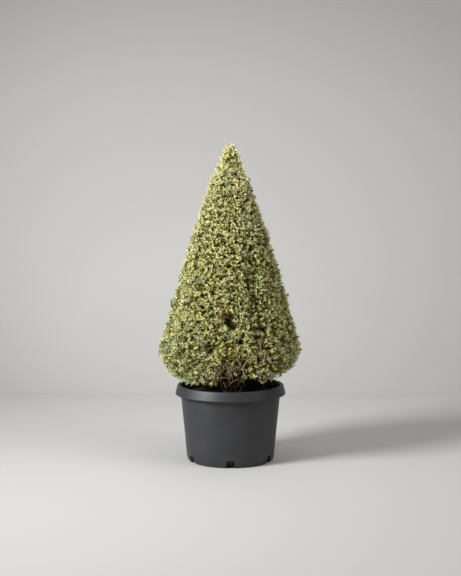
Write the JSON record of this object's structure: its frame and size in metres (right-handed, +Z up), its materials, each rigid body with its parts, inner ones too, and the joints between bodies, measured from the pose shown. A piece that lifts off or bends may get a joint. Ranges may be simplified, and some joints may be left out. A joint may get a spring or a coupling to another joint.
{
  "type": "potted cone topiary",
  "caption": "Boxwood clipped to a full cone, with trunk, boughs and separate masses of variegated foliage, growing in a round rimmed nursery pot.",
  "frame": {"origin": "on the ground under the middle of the pot", "axes": "+Z up along the trunk, -Y towards the front, where the bare window at the foot of the crown is"},
  "size_m": [0.4628, 0.4597, 1.0304],
  "materials": {
    "pot_plastic": "charcoal moulded plastic with a satin sheen and fine turning lines",
    "compost": "moist dark potting compost with bark crumbs and a little moss",
    "bark": "grey-brown bark with fine cracks along the grain",
    "bare_wood": "pale dry twig bark",
    "foliage": "small leathery leaves, grey-green with cream margins"
  },
  "bodies": {
    "root": {"bare_twig_left": "bare_wood", "bare_twig_low": "bare_wood", "bare_twig_right": "bare_wood", "compost": "compost", "pot": "pot_plastic", "shoulder_bough_1": "bark", "shoulder_bough_2": "bark", "shoulder_bough_3": "bark", "shoulder_bough_4": "bark", "shoulder_foliage_1": "foliage", "shoulder_foliage_2": "foliage", "shoulder_foliage_3": "foliage", "shoulder_foliage_4": "foliage", "skirt_bough_1": "bark", "skirt_bough_2": "bark", "skirt_bough_3": "bark", "skirt_bough_4": "bark", "skirt_bough_5": "bark", "skirt_bough_6": "bark", "skirt_foliage_1": "foliage", "skirt_foliage_2": "foliage", "skirt_foliage_3": "foliage", "skirt_foliage_4": "foliage", "skirt_foliage_5": "foliage", "skirt_foliage_6": "foliage", "spire_foliage": "foliage", "trunk": "bark"}
  },
  "joints": []
}
